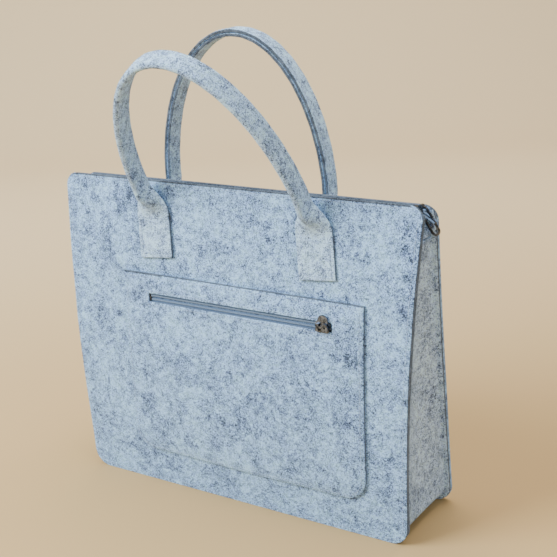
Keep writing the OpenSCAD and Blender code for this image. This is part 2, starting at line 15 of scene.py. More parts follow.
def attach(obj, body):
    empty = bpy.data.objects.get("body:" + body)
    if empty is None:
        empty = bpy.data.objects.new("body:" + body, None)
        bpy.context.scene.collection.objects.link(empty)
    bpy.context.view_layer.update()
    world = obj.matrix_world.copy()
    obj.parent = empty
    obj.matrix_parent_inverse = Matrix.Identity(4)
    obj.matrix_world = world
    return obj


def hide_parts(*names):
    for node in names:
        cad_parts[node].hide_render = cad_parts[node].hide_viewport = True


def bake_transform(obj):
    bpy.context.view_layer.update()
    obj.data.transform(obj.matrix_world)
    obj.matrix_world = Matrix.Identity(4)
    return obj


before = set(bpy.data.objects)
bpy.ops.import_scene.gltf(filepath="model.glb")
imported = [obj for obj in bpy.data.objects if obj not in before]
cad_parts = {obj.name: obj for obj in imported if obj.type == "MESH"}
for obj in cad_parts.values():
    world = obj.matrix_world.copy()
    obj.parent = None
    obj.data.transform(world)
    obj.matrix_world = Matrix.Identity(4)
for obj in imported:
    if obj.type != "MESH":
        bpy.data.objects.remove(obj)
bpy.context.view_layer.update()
METRE = 0.001
FRONT, BACK = -1, 1  # the sides, as the sign of y

# ---- sizes, from the CAD model
# the bag's depth at the base and at the mouth, the mouth's middle, the height in front and
# how much lower the back is
BASE_D, MOUTH_D, MOUTH_Y, BAG_H, BACK_DROP = 95.0, 27.0, -21.6, 302.0, 5.0
BACK_H = BAG_H - BACK_DROP
# the panels' width at the top and at the base, how much slimmer they are between, and the
# radii of their corners
TOP_W, BASE_W, WAIST, TOP_R, BASE_R = 380.0, 354.0, 2.5, 12.0, 17.0
# how far the panels bow, and the felt's thickness
FRONT_BOW, BACK_BOW, FELT = 8.5, 3.0, 3.0
HALF_FELT = FELT / 2
# the gusset's web: how far in from the panels' edges it stands, and its top
SEAM_IN, WEB_TOP = 4.5, 271.0
# the pocket: width, height, lower edge, middle and corner radius, then its zip's slot and how
# far the patch stands off the panel
PATCH_W, PATCH_H, PATCH_Z, PATCH_X, PATCH_R = 256.0, 179.0, 36.5, 12.5, 22.0
SLOT_W, SLOT_H, SLOT_Z, POCKET_GAP = 197.0, 8.0, 193.0, 1.5
# the mouth zip's height, a coil's width and half the slit between the coils
ZIP_Z, COIL_W, MOUTH_SLIT = 293.5, 2.5, 1.2
# the handles: half the distance between a handle's legs, its hinge's height and distance from
# the panel, the sewn ends' lower edge and half width, and the folded strap's width
LEG, HINGE_Z, HINGE_OUT, TAB_Z = 86.0, 292.0, 14.0, 231.5
TAB_HALF, STRAP_W = 18.0, 19.4

AIR = 0.05  # keeps touching sheets from lying in one another


def bow_arc(foot, head, bow, side):
    """Radius and centre of a face's arc, seen from the side."""
    run = np.subtract(head, foot)
    chord = np.hypot(*run)
    inward = -side * np.array([run[1], -run[0]]) / chord
    radius = (chord**2 / 4 + bow**2) / (2 * bow)
    return radius, np.add(foot, head) / 2 + inward * (radius - bow)


FRONT_ARC = bow_arc((-BASE_D / 2, 0), (MOUTH_Y - MOUTH_D / 2, BAG_H), FRONT_BOW, FRONT)
BACK_ARC = bow_arc((BASE_D / 2, 0), (MOUTH_Y + MOUTH_D / 2, BACK_H), BACK_BOW, BACK)


def half_w(z):
    """Half the panels' width at a height."""
    s = z / BAG_H
    return BASE_W / 2 + (TOP_W - BASE_W) / 2 * s - 4 * WAIST * s * (1 - s)


BROAD_WAVE, FINE_WAVE = 0.8, 0.35  # how far each swells the felt
CALM_SLOT, CALM_RIM = 22, 30  # how far from the zip and from the rims it has died away


def wave(x, z, side):
    """How far the soft felt stands off the CAD face; nothing at the zips and the rims."""
    shift = 0.0 if side < 0 else 2.1
    swell = BROAD_WAVE * np.sin(x / 58 + 0.9 + shift) * np.sin(z / 49 + 0.5 + shift)
    swell = swell + FINE_WAVE * np.sin(x / 21 + z / 33 + shift)
    calm = 1 - np.exp(-(((z - SLOT_Z) / CALM_SLOT) ** 2)) if side < 0 else 1.0
    rim = np.clip(np.minimum(z, BAG_H - z) / CALM_RIM, 0, 1)
    return swell * calm * rim


def on_face(side, x, z, out):
    """Points on a panel's face, standing `out` from it."""
    x, z, out = np.broadcast_arrays(*(np.asarray(v, float) for v in (x, z, out)))
    radius, centre = FRONT_ARC if side < 0 else BACK_ARC
    rise = np.arcsin((z - centre[1]) / radius)
    reach = radius + out + wave(x, z, side)
    lift = (out + wave(x, z, side)) * np.sin(rise)
    return np.stack([x, centre[0] + side * reach * np.cos(rise),
                     np.maximum(z + lift, 0.0)], -1)


def face_y(side, z, out):
    """A face's y at a height, without the wave."""
    return float(on_face(side, 0.0, z, out)[1] - side * wave(0.0, z, side))


# ---- meshes
class Mesh:
    """Gathers points and faces, and turns them into one object."""

    def __init__(self):
        self.points, self.faces, self.count = [], [], 0
        self.shade_faces = []  # the faces that get the dark edge material: painted shade along cut edges and gaps

    def add(self, points, faces):
        points = np.asarray(points, float).reshape(-1, 3)
        self.points.append(points)
        self.faces += [[i + self.count for i in f] for f in faces]
        self.count += len(points)

    def add_sheet(self, top, bottom, keep=None, takes_edge_shade=lambda a, b: True):
        """A sheet with two sides over the kept cells of a grid. Its rim counts as cut edge and
        gets the painted edge shade where the given test says so of the grid columns of its two
        corners."""
        rows, cols = top.shape[:2]
        if keep is None:
            keep = np.ones((rows - 1, cols - 1), bool)
        size = rows * cols
        faces, edges = [], {}
        for r, c in np.argwhere(keep).tolist():
            q = [r * cols + c, r * cols + c + 1, (r + 1) * cols + c + 1, (r + 1) * cols + c]
            faces += [q, [i + size for i in reversed(q)]]
            for a, b in zip(q, q[1:] + q[:1]):
                if (b, a) in edges:
                    del edges[(b, a)]
                else:
                    edges[(a, b)] = True
        first = len(self.faces) + len(faces)
        self.shade_faces += [first + i for i, (a, b) in enumerate(edges)
                           if takes_edge_shade(a % cols, b % cols)]
        faces += [[b, a, a + size, b + size] for a, b in edges]
        used = sorted({i for f in faces for i in f})
        new = {old: i for i, old in enumerate(used)}
        points = np.concatenate([top.reshape(-1, 3), bottom.reshape(-1, 3)])[used]
        self.add(points, [[new[i] for i in f] for f in faces])

    def shade_band(self, inside):
        """Gives the faces whose middle is inside(x, z) the painted edge shade as well."""
        points = np.concatenate(self.points)
        for i, face in enumerate(self.faces):
            x, _, z = points[face].mean(axis=0)
            if inside(x, z):
                self.shade_faces.append(i)

    def build(self, name, material, edge_shade=None):
        """The finished object. The optional second material is the dark edge material, painted
        shade on cut edges and bands.
        """
        data = bpy.data.meshes.new(name)
        data.from_pydata((np.concatenate(self.points) * METRE).tolist(), [], self.faces)
        data.update()
        obj = bpy.data.objects.new(name, data)
        bpy.context.collection.objects.link(obj)
        data.polygons.foreach_set("use_smooth", [True] * len(data.polygons))
        data.materials.append(material)
        if edge_shade is not None:
            data.materials.append(edge_shade)
            for i in self.shade_faces:
                data.polygons[i].material_index = 1
        fix_normals(obj)
        return obj


def fix_normals(obj):
    bm = bmesh.new()
    bm.from_mesh(obj.data)
    bmesh.ops.recalc_face_normals(bm, faces=bm.faces)
    bm.to_mesh(obj.data)
    bm.free()


TINY, FAR = 1e-9, 1e9


def unit(v):
    return v / np.maximum(np.linalg.norm(v, axis=-1, keepdims=True), TINY)


TUBE_SIDES = 6
TUBE_GUIDE = np.array([0.31, 0.9, 0.2])  # a direction that no wire or thread follows


def tube(mesh, path, radius):
    """A round wire along a path."""
    path = np.asarray(path, float)
    n, sides = len(path), TUBE_SIDES
    tangent = unit(np.gradient(path, axis=0))
    across = unit(np.cross(tangent, TUBE_GUIDE))
    height = unit(np.cross(across, tangent))
    turn = np.arange(sides)[None, :, None] * 2 * math.pi / sides
    points = path[:, None] + radius * (
        np.cos(turn) * across[:, None] + np.sin(turn) * height[:, None])
    faces = []
    for i in range(n - 1):
        for j in range(sides):
            m, k = (j + 1) % sides, i + 1
            faces.append([i * sides + j, i * sides + m, k * sides + m, k * sides + j])
    faces.append(list(range(sides))[::-1])
    faces.append([(n - 1) * sides + j for j in range(sides)])
    mesh.add(points, faces)


def distance(px, pz, outline):
    """Distance of points from a closed outline."""
    a = np.asarray(outline, float)
    ab = np.roll(a, -1, 0) - a
    best = np.full(px.shape, FAR)
    for (ax, az), (dx, dz) in zip(a, ab):
        t = ((px - ax) * dx + (pz - az) * dz) / max(dx * dx + dz * dz, TINY)
        t = np.clip(t, 0, 1)
        best = np.minimum(best, np.hypot(px - ax - t * dx, pz - az - t * dz))
    return best


RIM_ROUND = 0.9  # the radius of a sheet's rims
NO_RIM = 9.0  # a distance from the edge at which nothing is rounded
INSETS = np.array([0, 0.35, 0.8, 1.4, 2.6])  # where a sheet's points crowd at its rims


def slab(mesh, place, X, Z, low, high, rim, keep=None, least=0.7):
    """A sheet of felt over a grid, rounded over RIM_ROUND at its rims, where it keeps the
    share `least` of its thickness. rim is each point's distance from the sheet's edge, low
    and high the two faces' distances out, keep the cells that exist."""
    fullness = np.sqrt(1 - (1 - np.clip(rim / RIM_ROUND, 0, 1)) ** 2)
    fullness = least + (1 - least) * fullness
    middle, half = (low + high) / 2, (high - low) / 2 * fullness
    mesh.add_sheet(place(X, Z, middle + half), place(X, Z, middle - half), keep)


# ---- materials
MIX_A, MIX_B, MIX_RESULT = 6, 7, 2  # the colour sockets of a Mix node


def grey(level):
    return (level, level, level)


class Look:
    """One material under construction: its nodes, and short ways to add more."""

    def __init__(self, name):
        self.material = bpy.data.materials.new(name)
        self.material.use_nodes = True
        tree = self.material.node_tree
        self.nodes, self.link = tree.nodes, tree.links.new
        self.shader = tree.nodes["Principled BSDF"].inputs

    def add(self, kind, **settings):
        node = self.nodes.new(f"ShaderNode{kind}")
        for key, value in settings.items():
            setattr(node, key, value)
        return node

    def fill(self, node, **numbers):
        for key, number in numbers.items():
            node.inputs[key.replace("_", " ")].default_value = number

    def coords(self, stretch=(1, 1, 1)):
        mapping = self.add("Mapping")
        mapping.inputs["Scale"].default_value = stretch
        self.link(self.add("TexCoord").outputs["Object"], mapping.inputs["Vector"])
        return mapping.outputs["Vector"]

    def depth(self, where, near, far):
        """A smooth step along Y."""
        split = self.add("SeparateXYZ")
        self.link(where, split.inputs["Vector"])
        return self.step(split.outputs["Y"], near, far)

    def noise(self, where, scale, detail, rough, distort=0.0):
        n = self.add("TexNoise")
        self.fill(n, Scale=scale, Detail=detail, Roughness=rough, Distortion=distort)
        self.link(where, n.inputs["Vector"])
        return n.outputs["Fac"]

    def ramp(self, value, *stops):
        """Colours by value. Each stop is (position, colour)."""
        r = self.add("ValToRGB")
        elements = r.color_ramp.elements
        while len(elements) < len(stops):
            elements.new(0.5)
        for element, (position, colour) in zip(elements, stops):
            element.position = position
            element.color = (*colour, 1)
        self.link(value, r.inputs["Fac"])
        return r.outputs["Color"]

    def flat(self, colour):
        rgb = self.add("RGB").outputs[0]
        rgb.default_value = (*colour, 1)
        return rgb

    def mix(self, factor, a, b, blend="MIX"):
        m = self.add("Mix", data_type="RGBA", blend_type=blend)
        self.feed(m.inputs["Factor"], factor)
        self.link(a, m.inputs[MIX_A])
        self.link(b, m.inputs[MIX_B])
        return m.outputs[MIX_RESULT]

    def feed(self, socket, value):
        """Gives a socket a number or another node's output."""
        if isinstance(value, float):
            socket.default_value = value
        else:
            self.link(value, socket)

    def math(self, operation, *values):
        m = self.add("Math", operation=operation)
        for socket, value in zip(m.inputs, values):
            self.feed(socket, value)
        return m.outputs[0]

    def add_up(self, *terms):
        """The sum of some values, each times its share."""
        total = 0.0
        for value, share in terms:
            total = self.math("MULTIPLY_ADD", value, share, total)
        return total

    def step(self, value, low, high, start=0.0, end=1.0):
        """A smooth step from start to end as the value goes from low to high."""
        m = self.add("MapRange", interpolation_type="SMOOTHSTEP")
        self.fill(m, From_Min=low, From_Max=high, To_Min=start, To_Max=end)
        self.link(value, m.inputs["Value"])
        return m.outputs["Result"]

    def strands(self, where, scale, width, share):
        """Short curved fibres: the noise's middle contour, broken up by a second noise."""
        line = self.noise(where, scale, 3, 0.55, 2.2)
        off = self.math("ABSOLUTE", self.math("SUBTRACT", line, 0.5))
        here = self.noise(where, scale * 0.63, 2, 0.6)
        return self.math("MULTIPLY", self.step(off, 0.0, width, 1.0, 0.0),
                         self.step(here, share, share + 0.06))

    def relief(self, height, strength, distance_m, below=None):
        """Gives the surface a fine relief, on top of the one below it."""
        bump = self.add("Bump")
        self.fill(bump, Strength=strength, Distance=distance_m)
        self.link(height, bump.inputs["Height"])
        if below is not None:
            self.link(below, bump.inputs["Normal"])
        self.link(bump.outputs["Normal"], self.shader["Normal"])
        return bump.outputs["Normal"]

    def finish(self, colour, roughness, **more):
        self.link(colour, self.shader["Base Color"])
        self.feed(self.shader["Roughness"], roughness)
        for key, value in more.items():
            self.shader[key.replace("_", " ")].default_value = value
        return self.material


def felt(name, light, mid, dark, clumps=0.13, paler=0.0, painted_shade=None):
    """Mottled wool felt: dark fibres gather in loose clumps over a pale ground, and single
    dark and pale strands cross it. The surface is matted and slightly fuzzy. clumps is the
    share of the largest clumps, paler moves all tones up. The last argument is painted shade,
    (near, far, tone): from near to far in Y, in metres, the felt goes from being multiplied
    by tone to its own."""
    look = Look(name)
    where = look.coords()
    # noises from coarse to fine: lumps per metre, detail, roughness, distortion
    clump = look.noise(where, 34, 3, 0.6, 0.6)
    patch = look.noise(where, 120, 4, 0.65, 0.8)
    speck = look.noise(where, 430, 4, 0.75, 1.6)
    grain = look.noise(where, 1000, 2, 0.6, 0.8)
    fine = look.noise(where, 1500, 2, 0.6)
    coarse = 0.34  # the share of clump and patch together
    total = look.add_up((clump, clumps), (patch, coarse - clumps), (speck, 0.28), (grain, 0.38))
    pale = tuple(min(1.0, c * 1.25) for c in light)
    base = look.ramp(total, (0.445 - paler, dark), (0.48 - paler, mid), (0.51 - paler, light),
                     (0.56 - paler, pale))
    # strands: per metre, width, and how much of the felt is without them
    dark_hair = look.math("MAXIMUM", look.strands(where, 150, 0.030, 0.50),
                          look.strands(where, 330, 0.045, 0.48))
    pale_hair = look.strands(where, 240, 0.040, 0.50)
    base = look.mix(look.math("MULTIPLY", dark_hair, 0.95), base, look.flat(dark))
    base = look.mix(look.math("MULTIPLY", pale_hair, 0.45), base, look.flat(pale))
    grit = look.ramp(fine, (0.3, grey(0.74)), (0.62, grey(1.0)))
    base = look.mix(0.9, base, grit, "MULTIPLY")
    # painted shade: the felt is darkened along Y, towards a crease
    if painted_shade:
        near, far, tone = painted_shade
        crease_shade = look.ramp(look.depth(where, near, far), (0.0, tone), (1.0, grey(1.0)))
        base = look.mix(1.0, base, crease_shade, "MULTIPLY")
    rough = look.relief(speck, 0.6, 0.0010)
    look.relief(fine, 0.6, 0.0003, below=rough)
    return look.finish(base, 0.95, Specular_IOR_Level=0.15, Sheen_Weight=0.3,
                       Sheen_Roughness=0.6, Sheen_Tint=(0.62, 0.80, 1.0, 1))


def woven(name, light, dark):
    """Zip tape: a fine herringbone of slanting threads."""
    look = Look(name)
    where = look.coords()
    lines = look.add("TexWave", wave_type="BANDS", bands_direction="DIAGONAL")
    look.fill(lines, Scale=300.0, Distortion=0.6)
    look.link(where, lines.inputs["Vector"])
    grain = look.noise(where, 900, 3, 0.6)
    colour = look.ramp(lines.outputs["Fac"], (0.2, dark), (0.8, light))
    speckle = look.ramp(grain, (0.3, dark), (0.7, light))
    look.relief(lines.outputs["Fac"], 0.5, 0.0003)
    return look.finish(look.mix(0.35, colour, speckle), 0.85)


def metal(name, light, dark):
    """Aged metal: bright where it is rubbed, dark in blotches, lightly scratched."""
    look = Look(name)
    patina = look.noise(look.coords(), 420, 5, 0.65, 0.5)
    scratch = look.noise(look.coords((1, 1, 9)), 900, 3, 0.5)
    shine = look.ramp(scratch, (0.3, grey(0.22)), (0.75, grey(0.5)))
    look.relief(patina, 0.25, 0.0002)
    return look.finish(look.ramp(patina, (0.36, dark), (0.62, light)), shine, Metallic=1.0)


def yarn(name, light, dark, scale=1500.0, rough=0.8):
    """Thread or coil filament: twisted, with slight changes of tone."""
    look = Look(name)
    twist = look.noise(look.coords(), scale, 3, 0.6, 2.0)
    look.relief(twist, 0.4, 0.0002)
    return look.finish(look.ramp(twist, (0.3, dark), (0.7, light)), rough)


PANEL_FELT = felt("felt_panel", (0.385, 0.63, 1.0), (0.24, 0.355, 0.67), (0.026, 0.032, 0.05))
# a paler copy of the panel felt: painted light on the gusset side, which the key light hardly
# reaches; painted shade darkens it towards the front crease
GUSSET_FELT = felt("felt_gusset", (0.60, 0.78, 1.0), (0.36, 0.47, 0.78), (0.024, 0.029, 0.044),
                   painted_shade=(-0.048, -0.008, (0.55, 0.55, 0.58)))
STRAP_FELT = felt("felt_strap", (0.48, 0.70, 1.0), (0.33, 0.45, 0.74), (0.04, 0.05, 0.075),
                  clumps=0.04, paler=0.008)
# painted shade: a dark felt on cut edges, the mouth's top band, the pocket's top edge and the
# strap's edges, standing in for the shadow lines along them
EDGE_SHADE_FELT = felt("felt_edge_painted_shade", (0.11, 0.135, 0.175), (0.06, 0.073, 0.095),
                (0.012, 0.014, 0.02))
TAPE = woven("zip_tape", (0.22, 0.33, 0.50), (0.10, 0.16, 0.27))
COIL = yarn("zip_coil", (0.34, 0.46, 0.62), (0.20, 0.28, 0.41), 900.0, 0.5)
METAL = metal("zip_brass", (0.24, 0.285, 0.37), (0.022, 0.026, 0.036))
DARK_METAL = metal("zip_gunmetal", (0.22, 0.24, 0.27), (0.025, 0.028, 0.035))
THREAD = yarn("thread", (0.42, 0.54, 0.72), (0.26, 0.35, 0.50))

SHELL = "shell"


def finish_piece(obj, body, slot, *nodes):
    """Ties a piece to its body and hides the CAD nodes it stands for. slot is not used."""
    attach(obj, body)
    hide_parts(*nodes)


# ---- outlines
def arc_points(cx, cz, r, start, end, count=10):
    a = np.radians(np.linspace(start, end, count))
    return [(cx + r * math.cos(t), cz + r * math.sin(t)) for t in a]


def panel_outline(height, inset=0.0):
    """A panel's outline as (x, z) points, or a line the inset within it."""
    right = arc_points(half_w(BASE_R) - BASE_R, BASE_R, BASE_R - inset, -90, 0)
    shoulder = height - TOP_R
    for z in np.linspace(BASE_R, shoulder, 26)[1:-1]:
        right.append((half_w(z) - inset, z))
    right += arc_points(half_w(shoulder) - TOP_R, shoulder, TOP_R - inset, 0, 90)
    return right + [(-x, z) for x, z in reversed(right)]


def edge_x(z, height):
    """Half the panel's width at z, with the rounded corners."""
    z = np.asarray(z, float)
    shoulder = height - TOP_R
    low = half_w(BASE_R) - BASE_R + np.sqrt(
        np.maximum(BASE_R**2 - np.minimum(z - BASE_R, 0) ** 2, 0))
    high = half_w(shoulder) - TOP_R + np.sqrt(
        np.maximum(TOP_R**2 - np.maximum(z - shoulder, 0) ** 2, 0))
    return np.where(z < BASE_R, low, np.where(z > shoulder, high, half_w(z)))


# ---- panels
LIP_SHADE_BAND = 1.5  # how far the painted shade of the mouth's gap rolls down from the top edge onto the face
CORE_IN = 4  # the panel's even columns start this far from its edges


def panel(name, side, height):
    corner = np.array([0, 0.2, 0.5, 0.9, 1.5, 2.3, 3.4, 5, 7, 9.5, 12.5, BASE_R])
    middle = np.linspace(BASE_R, height - BASE_R, 62)[1:-1]
    zs = np.concatenate([corner, middle, height - corner[::-1]])
    u = np.linspace(-1, 1, 91)[1:-1]
    X = np.array([
        np.concatenate([-half + INSETS, u * (half - CORE_IN), half - INSETS[::-1]])
        for half in edge_x(zs, height)])
    Z = np.broadcast_to(zs[:, None], X.shape)
    rim = distance(X, Z, panel_outline(height))
    mesh = Mesh()
    slab(mesh, lambda x, z, n: on_face(side, x, z, n), X, Z, -FELT, 0.0, rim, least=0.85)
    if side == BACK:  # behind, only the top edge gets the painted edge shade
        mesh.shade_faces = [i for i in mesh.shade_faces
                          if min(mesh.points[0][k][2] for k in mesh.faces[i]) > height - TOP_R]
    straight = half_w(height) - TOP_R
    # painted shade: a dark band along the top of the face, for the mouth's gap
    mesh.shade_band(lambda x, z: z > height - LIP_SHADE_BAND and abs(x) < straight)
    obj = mesh.build(name, PANEL_FELT, edge_shade=EDGE_SHADE_FELT)
    finish_piece(obj, SHELL, "felt_panel", name.replace("felt", "panel"))


panel("front_felt", FRONT, BAG_H)
panel("back_felt", BACK, BACK_H)


# ---- gusset
FLANGE_END = 8  # how far below the front panel's top the flanges end
FLANGE_EDGE, FLANGE_BEND = 0.2, 2.4  # how far in from the panel's edge a flange runs flat
FLANGE_COLS = 3  # the grid columns of each flange
CORNER_DRAW = 1.8  # the most that a flange draws in at the panel's rounded corner
EDGE_THIN = 0.95  # how much of its thickness the strip keeps at its edges
TURN = 2.2  # the radius of the bend between flange and web
WEB_GAP = 0.5  # the web stands this much further in than in the CAD model
SIDE_SAG, BASE_SAG = 6.0, 1.0  # how far the web sags inward
SAG_FORM = 1.3  # above 1 the sag keeps away from the flanges


def gusset_path():
    """Places along the panels' outline as (x, z, nx, nz): from the right end of the strip
    down, across the bottom and up to its left end. (nx, nz) points out of the bag."""
    right = [(half_w(z), z, 1.0, 0.0)
             for z in np.linspace(BAG_H - FLANGE_END, BASE_R, 70)[:-1]]
    for a in np.radians(np.linspace(0, -90, 14)):
        right.append((half_w(BASE_R) - BASE_R + BASE_R * math.cos(a),
                      BASE_R + BASE_R * math.sin(a), math.cos(a), math.sin(a)))
    left = [(-x, z, -nx, nz) for x, z, nx, nz in reversed(right)]
    span = right[-1][0]
    bottom = [(x, 0.0, 0.0, -1.0) for x in np.linspace(span, -span, 60)[1:-1]]
    return np.array(right + bottom + left)


def corner_inset(z, height):
    """How far the panel's rounded top corner has drawn in at a height, up to CORNER_DRAW."""
    rise = min(max(z - (height - TOP_R), 0.0), TOP_R)
    return min(TOP_R - math.sqrt(TOP_R**2 - rise**2), CORNER_DRAW)


def gusset_ring(z, nx):
    """The strip's cross-section at one place: centre line points as (inset, y)."""
    front = face_y(FRONT, z, -FELT - HALF_FELT)
    back = face_y(BACK, z, -FELT - HALF_FELT)
    web = SEAM_IN + HALF_FELT + WEB_GAP
    span = back - front
    up = math.sin(math.pi * np.clip(z / WEB_TOP, 0, 1))
    sag = SIDE_SAG * up if abs(nx) > 0.5 else BASE_SAG
    front_in = corner_inset(z, BAG_H)
    back_in = corner_inset(z, BACK_H)
    points = [(FLANGE_EDGE + front_in, front), (FLANGE_BEND + front_in, front)]
    bend = [(math.sin(t), math.cos(t)) for t in np.radians((0, 30, 60, 90))]
    points += [(web - TURN + TURN * sin, front + TURN - TURN * cos) for sin, cos in bend]
    for s in np.linspace(0, 1, 13)[1:-1]:
        y = front + TURN + (span - 2 * TURN) * s
        points.append((web + sag * math.sin(math.pi * s) ** SAG_FORM, y))
    points += [(web - TURN + TURN * sin, back - TURN + TURN * cos) for sin, cos in bend[::-1]]
    points += [(FLANGE_BEND + back_in, back), (FLANGE_EDGE + back_in, back)]
    return np.array(points)


def gusset():
    """One strip down a side, across the bottom and up the other, its edges turned out."""
    path = gusset_path()
    outer, inner = [], []
    for x, z, nx, nz in path:
        ring = gusset_ring(z, nx)
        step = unit(np.gradient(ring, axis=0))
        normal = np.stack([-step[:, 1], step[:, 0]], -1)
        half = np.full(len(ring), HALF_FELT)
        half[[0, -1]] *= EDGE_THIN
        for store, sign in ((outer, 1), (inner, -1)):
            p = ring + sign * half[:, None] * normal
            store.append(np.stack([x - nx * p[:, 0], p[:, 1], z - nz * p[:, 0]], -1))
    # above the web's top the strip is two flanges only: their cells stay, the web's go
    last = len(ring) - 1 - FLANGE_COLS
    keep = np.ones((len(path) - 1, len(ring) - 1), bool)
    above = (path[:-1, 1] > WEB_TOP) & (path[1:, 1] > WEB_TOP - 4)
    keep[above, FLANGE_COLS:last] = False
    mesh = Mesh()
    # the web's top folds into the tucked ends, so it isn't a cut edge and gets no painted edge
    # shade
    mesh.add_sheet(np.array(outer), np.array(inner), keep,
                   lambda a, b: min(a, b) < FLANGE_COLS or max(a, b) > last)
    obj = mesh.build("gusset_felt", GUSSET_FELT, edge_shade=EDGE_SHADE_FELT)
    finish_piece(obj, SHELL, "felt_gusset", "gusset_strip")
    girth = np.array([np.linalg.norm(np.diff(gusset_ring(z, nx), axis=0), axis=1).sum()
                      for _, z, nx, _ in path])
    step = np.linalg.norm(np.diff(path[:, :2], axis=0), axis=1)


gusset()


TUCK_CLEAR = 0.8  # the mouth tape's leg hangs between a tucked flap and the panel
TUCK_LEAN, TUCK_FORM = 13, 1.25  # how far inward a flap's top comes, and how late it turns
TUCK_LAP = 0.6  # how far the flaps start below the web's top
TUCK_TOP = 4.5  # how far below the zip they end
TUCK_RIM = 18  # their height for the rounding of their top edge
TUCK_OUT = (0.8, 0, 0.55)  # which way their thickness goes, at the right end


def tucked_ends():
    """Above its web, each end of the strip is tucked inward as two flaps with a slit."""
    rise = np.linspace(0, 1, 14)
    for end, label in ((1, "right"), (-1, "left")):
        mesh = Mesh()
        for side in (FRONT, BACK):
            web_x = half_w(WEB_TOP) - SEAM_IN - HALF_FELT
            x = end * (web_x - TUCK_LEAN * rise**TUCK_FORM)
            z = WEB_TOP - TUCK_LAP + (ZIP_Z - TUCK_TOP - WEB_TOP) * rise
            reach = np.array([abs(face_y(side, h, -FELT) - MOUTH_Y) for h in z])
            share = np.array([0, 0.08, 0.25, 0.5, 0.75, 0.92, 1.0])
            inner = MOUTH_SLIT + AIR
            X, T = np.meshgrid(x, share, indexing="ij")
            Z = np.broadcast_to(z[:, None], X.shape)
            R = np.broadcast_to(reach[:, None], X.shape)
            Y = MOUTH_Y + side * (inner + (R - TUCK_CLEAR - inner) * T)
            rim = np.minimum((R - inner) * T, (1 - rise)[:, None] * TUCK_RIM)
            slope = end * np.array(TUCK_OUT)

            def place(x, z, n, Y=Y):
                return np.stack([x, Y, z], -1) + slope * n[..., None]

            slab(mesh, place, X, Z, -HALF_FELT, HALF_FELT, rim)
        obj = mesh.build(f"gusset_tuck_{label}", GUSSET_FELT)
        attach(obj, SHELL)


tucked_ends()


# ---- pocket
def patch_outline(inset=0.0):
    """The patch's outline as (x, z) points, or a line the inset within it."""
    w = PATCH_W / 2 - inset
    low, high = PATCH_Z + inset, PATCH_Z + PATCH_H - inset
    r = PATCH_R - inset
    right = arc_points(w - r, low + r, r, -90, 0) + [(w, high)]
    return [(x + PATCH_X, z) for x, z in right + [(-x, z) for x, z in reversed(right)]]


def slot_outline(out=0.0):
    """The zip slot's corners, or those of a box that much larger all round."""
    w, h = SLOT_W / 2 + out, SLOT_H / 2 + out
    return [(PATCH_X + sx * w, SLOT_Z + sz * h) for sx, sz in ((-1, -1), (1, -1), (1, 1), (-1, 1))]


def patch_edge(z):
    """Half the patch's width at z, with its rounded bottom corners."""
    drop = PATCH_Z + PATCH_R - z
    return PATCH_W / 2 - PATCH_R + np.sqrt(np.maximum(PATCH_R**2 - np.maximum(drop, 0) ** 2, 0))


EDGE_LIFT = 9  # over how much of its width the patch's edge comes down to the panel
EDGE_FORM = 0.8
PUFF, PUFF_WIDTH = 1.6, 45  # how far the empty pocket puffs out, and over what width
PUFF_BELOW, PUFF_FADE = 10, 40  # it ends this far below the zip, fading over this height


def patch_back(edge, z):
    """How far the patch's back stands off the panel. edge is the distance from its edge."""
    lift = POCKET_GAP * np.clip(edge / EDGE_LIFT, 0, 1) ** EDGE_FORM
    low = np.clip((SLOT_Z - PUFF_BELOW - z) / PUFF_FADE, 0, 1)
    return lift + PUFF * np.clip(edge / PUFF_WIDTH, 0, 1) * low


SLOT_CLEAR = 5  # the grid's even columns keep this far from the slot's ends
PATCH_TOP_SHADE = 0.8  # how far the painted shade rolls down from the patch's top edge


